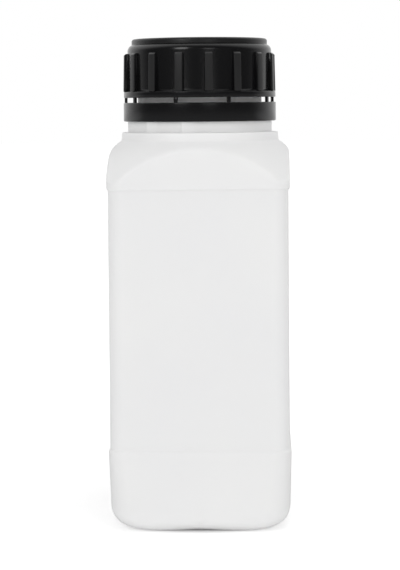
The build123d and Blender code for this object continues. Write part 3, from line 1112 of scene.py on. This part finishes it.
def thread_tree():
    group, start, end = new_group(
        "Screw thread",
        "GeometryNodeTree",
        (
            ("Geometry", "NodeSocketGeometry", None),
            ("Radius", "NodeSocketFloat", 0.0225),
            ("Pitch", "NodeSocketFloat", 0.004),
            ("Turns", "NodeSocketFloat", 2.5),
            ("Start height", "NodeSocketFloat", 0.15),
            ("Start angle", "NodeSocketFloat", 0.0),
            ("Rise", "NodeSocketFloat", 0.0014),
            ("Crest width", "NodeSocketFloat", 0.001),
            ("Foot width", "NodeSocketFloat", 0.0022),
            ("Root", "NodeSocketFloat", 0.0004),
            ("Material", "NodeSocketMaterial", None),
        ),
        (("Geometry", "NodeSocketGeometry"),),
    )
    links = group.links
    wanted = start.outputs
    line = group.nodes.new("GeometryNodeCurvePrimitiveLine")
    fine = group.nodes.new("GeometryNodeResampleCurve")
    links.new(line.outputs["Curve"], fine.inputs["Curve"])
    links.new(math_node(group, "MULTIPLY", wanted["Turns"], 90.0), fine.inputs["Count"])
    along = group.nodes.new("GeometryNodeSplineParameter").outputs["Factor"]
    turned_so_far = math_node(group, "MULTIPLY", along, wanted["Turns"])
    turn = math_node(group, "MULTIPLY", turned_so_far, 2 * math.pi)
    angle = math_node(group, "ADD", turn, wanted["Start angle"])
    climb = math_node(group, "MULTIPLY", turned_so_far, wanted["Pitch"])
    helix = group.nodes.new("ShaderNodeCombineXYZ")
    for axis, wave in (("X", "COSINE"), ("Y", "SINE")):
        swing = math_node(group, wave, angle)
        links.new(math_node(group, "MULTIPLY", swing, wanted["Radius"]), helix.inputs[axis])
    links.new(math_node(group, "ADD", climb, wanted["Start height"]), helix.inputs["Z"])
    wound = group.nodes.new("GeometryNodeSetPosition")
    links.new(fine.outputs["Curve"], wound.inputs["Geometry"])
    links.new(helix.outputs["Vector"], wound.inputs["Position"])
    upright = group.nodes.new("GeometryNodeSetCurveNormal")
    upright.mode = "Z_UP"
    links.new(wound.outputs["Geometry"], upright.inputs["Curve"])
    near_end = math_node(group, "MINIMUM", along, math_node(group, "SUBTRACT", 1.0, along))
    steepness = math_node(group, "MULTIPLY", wanted["Turns"], 9.0)
    fade = math_node(group, "MINIMUM", math_node(group, "MULTIPLY", near_end, steepness), 1.0)
    size = math_node(group, "MAXIMUM", fade, 0.02)
    shrunk = group.nodes.new("GeometryNodeSetCurveRadius")
    links.new(upright.outputs["Curve"], shrunk.inputs["Curve"])
    links.new(size, shrunk.inputs["Radius"])
    profile = group.nodes.new("GeometryNodeCurvePrimitiveQuadrilateral")
    profile.mode = "POINTS"
    inward = math_node(group, "MULTIPLY", wanted["Root"], -1.0)
    foot_high = math_node(group, "MULTIPLY", wanted["Foot width"], 0.5)
    crest_high = math_node(group, "MULTIPLY", wanted["Crest width"], 0.5)
    places = (
        (inward, math_node(group, "MULTIPLY", foot_high, -1.0)),
        (wanted["Rise"], math_node(group, "MULTIPLY", crest_high, -1.0)),
        (wanted["Rise"], crest_high),
        (inward, foot_high),
    )
    for number, (out, high) in enumerate(places, 1):
        corner = group.nodes.new("ShaderNodeCombineXYZ")
        links.new(out, corner.inputs["X"])
        links.new(high, corner.inputs["Y"])
        links.new(corner.outputs["Vector"], profile.inputs[f"Point {number}"])
    soft = group.nodes.new("GeometryNodeFilletCurve")
    soft.mode = "POLY"
    links.new(profile.outputs["Curve"], soft.inputs["Curve"])
    soft.inputs["Count"].default_value = 3
    soft.inputs["Radius"].default_value = THREAD_EDGE * MM
    ridge = group.nodes.new("GeometryNodeCurveToMesh")
    ridge.inputs["Fill Caps"].default_value = True
    links.new(shrunk.outputs["Curve"], ridge.inputs["Curve"])
    links.new(soft.outputs["Curve"], ridge.inputs["Profile Curve"])
    radius = group.nodes.new("GeometryNodeInputRadius")
    links.new(radius.outputs["Radius"], ridge.inputs["Scale"])
    finish_tree(group, ridge.outputs["Mesh"], start, end)
    return group


screw_thread = thread_tree()
print(f"{screw_thread.name}: {len(screw_thread.nodes)} nodes")

# %% [markdown]
# The neck has the ridge outside. The cap has the matching one inside, half a pitch further on, so
# that the two slide past each other as the cap turns.

# %% Threads of the neck and the cap

THREAD_RISE = 1.4
THREAD_PITCH = 4.0
THREAD_LIFT = 4.2  # from the top of the ring up to where the thread starts
THREAD_START = 30.0  # degrees
THREAD_TURNS = 2.6
THREAD_ROOT = 0.4  # how deep a ridge is rooted in its wall
CAP_THREAD_RISE = 1.2


def thread(name, radius, rise, start_angle, material):
    """Ridge along a helix; a negative rise points at the axis."""
    piece = bpy.data.objects.new(name, bpy.data.meshes.new(name))
    bpy.context.scene.collection.objects.link(piece)
    values = {
        "Radius": radius * MM,
        "Pitch": THREAD_PITCH * MM,
        "Turns": THREAD_TURNS,
        "Start height": (ring_top + THREAD_LIFT) * MM,
        "Start angle": math.radians(start_angle),
        "Rise": rise * MM,
        "Root": math.copysign(THREAD_ROOT, rise) * MM,
    }
    return run_tree(piece, screw_thread, values, material)


neck_thread = thread("neck_thread", NECK_RADIUS, THREAD_RISE, THREAD_START, bottle_white)
cap_thread = thread("cap_thread", cap_bore, -CAP_THREAD_RISE, THREAD_START + 180, cap_black)
print(f"{THREAD_TURNS} turns at {THREAD_PITCH} mm a turn")

# %% [markdown]
# ## What moves with what
#
# Each piece rides on a body of the model: the ring stays with the bottle when the cap is screwed
# off, and the sealing disc goes up with the cap. A material slot says what each piece is made of.

# %% Bodies, slots and replaced nodes

RIDES = (
    (neck_thread, "bottle", "bottle_plastic"),
    (ring_shell, "bottle", "cap_plastic"),
    (bridges, "bottle", "cap_plastic"),
    *((pair, "bottle", "cap_plastic") for pair in pawls),
    (mould_seam, "bottle", "bottle_plastic"),
    (base_scar, "bottle", "bottle_plastic"),
    (cap_shell, "cap", "cap_plastic"),
    (grip_ribs, "cap", "cap_plastic"),
    (cap_thread, "cap", "cap_plastic"),
    (sealing_disc, "liner", "liner_foam"),
)
for piece, body, slot in RIDES:
    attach(piece, body)
for piece, node, material in (
    (cap_shell, "screw_cap", cap_black),
    (ring_shell, "tamper_ring", cap_black),
    (sealing_disc, "cap_liner", foam_white),
):
    piece.data.materials.append(material)
    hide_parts(node)
print(f"{len(RIDES) + 1} pieces on 3 bodies")

# %% [markdown]
# ## Studio
#
# A white floor that runs into a white world. The lamps and the world light the white plastic at a
# plain level. The lens is long and sits level with the neck, so the upright edges stay nearly
# upright.

# %% Camera

CAMERA_DISTANCE = 0.684
CAMERA_HEIGHT = 0.1508
CAMERA_TURN = 1.95  # degrees to the right of straight on
CAMERA_TILT = 2.517  # degrees down
CAMERA_ROLL = 0.478
CAMERA_LENS = 119.75
CAMERA_SHIFT = (0.0005, -0.178)


def add_camera():
    data = bpy.data.cameras.new("camera")
    camera = bpy.data.objects.new("camera", data)
    bpy.context.scene.collection.objects.link(camera)
    turn = math.radians(CAMERA_TURN)
    camera.location = (
        CAMERA_DISTANCE * math.sin(turn),
        -CAMERA_DISTANCE * math.cos(turn),
        CAMERA_HEIGHT,
    )
    camera.rotation_euler = (math.radians(90 - CAMERA_TILT), math.radians(CAMERA_ROLL), turn)
    data.lens = CAMERA_LENS
    data.sensor_width = 36
    data.shift_x, data.shift_y = CAMERA_SHIFT
    data.clip_start = 0.01
    data.clip_end = 20
    bpy.context.scene.camera = camera


add_camera()
print(f"{CAMERA_LENS} mm lens, {CAMERA_DISTANCE} m away")

# %% [markdown]
# Black plastic shows what stands round it more than its own colour, so the room matters as much as
# the lamps. Reflections find it dim in front and white behind. The floor gives a little light of
# its own, as a lit table does, but none under the bottle: that gap paints a darker contact shadow.

# %% Floor

FRONT_SHINE = 0.07  # how bright reflections find the room in front of the bottle
FLOOR_COLOR = 0.92
FLOOR_LIFT = 0.4  # more light from the floor as the camera sees it, far from the bottle
FLOOR_NEAR_LIFT = 0.08  # and near it
FLOOR_GLOW = 0.24  # light from a lit table, which reaches the underside
LIFT_REACH = (0.035, 0.3)  # metres from the axis over which the lift grows
# no glow under the bottle: a painted contact shadow round its base
GLOW_REACH = (0.021, 0.034)  # and the glow, from nothing under the bottle


def soft_change(tree, value, start, end, before, after):
    """Soft change from one level to another while the value goes from start to end."""
    change = tree.nodes.new("ShaderNodeMapRange")
    change.interpolation_type = "SMOOTHSTEP"
    numbers = {"From Min": start, "From Max": end, "To Min": before, "To Max": after}
    for label, number in numbers.items():
        change.inputs[label].default_value = number
    tree.links.new(value, change.inputs["Value"])
    return change.outputs["Result"]


def white_floor():
    """Large white floor; what the camera sees of it is lifted to white, shadows stay."""
    mesh = bpy.data.meshes.new("floor")
    reach = 6.0
    mesh.from_pydata(
        [(-reach, -reach, 0), (reach, -reach, 0), (reach, reach, 0), (-reach, reach, 0)],
        [],
        [(0, 1, 2, 3)],
    )
    floor = bpy.data.objects.new("floor", mesh)
    bpy.context.scene.collection.objects.link(floor)
    material = bpy.data.materials.new("floor_white")
    material.use_nodes = True
    shader = material.node_tree.nodes["Principled BSDF"]
    shader.inputs["Roughness"].default_value = 1.0
    shader.inputs["Specular IOR Level"].default_value = 0.0
    shader.inputs["Emission Color"].default_value = (1, 1, 1, 1)
    tree = material.node_tree
    sight = tree.nodes.new("ShaderNodeLightPath")
    place = tree.nodes.new("ShaderNodeTexCoord")
    away = tree.nodes.new("ShaderNodeVectorMath")
    away.operation = "LENGTH"
    tree.links.new(place.outputs["Object"], away.inputs["Vector"])
    far = soft_change(tree, away.outputs["Value"], *LIFT_REACH, FLOOR_NEAR_LIFT, FLOOR_LIFT)
    glow = soft_change(tree, away.outputs["Value"], *GLOW_REACH, 0.0, FLOOR_GLOW)
    lift = math_node(tree, "MULTIPLY_ADD", sight.outputs["Is Camera Ray"], far, glow)
    tree.links.new(lift, shader.inputs["Emission Strength"])
    axes = tree.nodes.new("ShaderNodeSeparateXYZ")
    tree.links.new(place.outputs["Object"], axes.inputs["Vector"])
    behind = soft_change(tree, axes.outputs["Y"], 0.0, 0.6, FRONT_SHINE, FLOOR_COLOR)
    mirrored = math_node(tree, "MULTIPLY", sight.outputs["Is Glossy Ray"], behind)
    direct = math_node(tree, "SUBTRACT", 1.0, sight.outputs["Is Glossy Ray"])
    shade = math_node(tree, "MULTIPLY_ADD", direct, FLOOR_COLOR, mirrored)
    tree.links.new(shade, shader.inputs["Base Color"])
    mesh.materials.append(material)


white_floor()
print(f"floor colour {FLOOR_COLOR}")

# %% [markdown]
# The world is white to the camera and lights evenly, below full strength, so that white plastic
# doesn't clip. In reflections it is white behind the bottle and dim in front of it, like the
# floor.

# %% World

WORLD_LIGHT = 0.575


def white_world():
    """World that lights evenly, is white to the camera, and in reflections white behind the bottle
    and dim in front of it, as in a studio."""
    world = bpy.data.worlds.new("studio")
    bpy.context.scene.world = world
    world.use_nodes = True
    tree = world.node_tree
    background = tree.nodes["Background"]
    background.inputs["Color"].default_value = (1, 1, 1, 1)
    sight = tree.nodes.new("ShaderNodeLightPath")
    seen_through = sight.outputs["Is Transmission Ray"]
    seen = math_node(tree, "MAXIMUM", sight.outputs["Is Camera Ray"], seen_through)
    direction = tree.nodes.new("ShaderNodeTexCoord")
    axes = tree.nodes.new("ShaderNodeSeparateXYZ")
    tree.links.new(direction.outputs["Generated"], axes.inputs["Vector"])
    tilted = math_node(tree, "MULTIPLY_ADD", axes.outputs["Z"], 0.8, axes.outputs["Y"])
    behind = soft_change(tree, tilted, -0.05, 0.9, FRONT_SHINE, 1.0)
    mirrored = math_node(tree, "MULTIPLY", sight.outputs["Is Glossy Ray"], behind)
    shown = math_node(tree, "MAXIMUM", seen, sight.outputs["Is Glossy Ray"])
    rest = math_node(tree, "MULTIPLY", math_node(tree, "SUBTRACT", 1.0, shown), WORLD_LIGHT)
    strength = math_node(tree, "ADD", math_node(tree, "ADD", seen, mirrored), rest)
    tree.links.new(strength, background.inputs["Strength"])


white_world()
print(f"world at {WORLD_LIGHT}")

# %% [markdown]
# Two soft lamps shine on the plastic, a large one on the left and a small one on the right. Two
# more only light it and leave no reflection.

# %% Lamps and view


def soft_lamp(name, place, aim, size, power, shine=True):
    """Flat lamp; without shine it lights the plastic and leaves no reflection on it."""
    data = bpy.data.lights.new(name, "AREA")
    data.shape = "RECTANGLE"
    data.size, data.size_y = size
    data.energy = power
    lamp = bpy.data.objects.new(name, data)
    bpy.context.scene.collection.objects.link(lamp)
    lamp.location = place
    lamp.visible_glossy = shine
    lamp.rotation_euler = (Vector(aim) - Vector(place)).to_track_quat("-Z", "Y").to_euler()


soft_lamp("lamp_left", (-0.56, -1.06, 0.7), (0, 0, 0.15), (0.4, 0.58), 2.7)
soft_lamp("lamp_high", (0.35, -1.15, 0.5), (0, 0, 0.15), (0.35, 0.3), 0.5)
soft_lamp("lamp_right", (0.7, -1.0, 0.7), (0, 0, 0.09), (0.7, 0.7), 1.4, shine=False)
soft_lamp("lamp_over", (0.15, -0.25, 1.2), (0, 0, 0.15), (0.7, 0.7), 2.6, shine=False)
print(f"{len(bpy.data.lights)} lamps")
bpy.context.scene.view_settings.view_transform = "Standard"
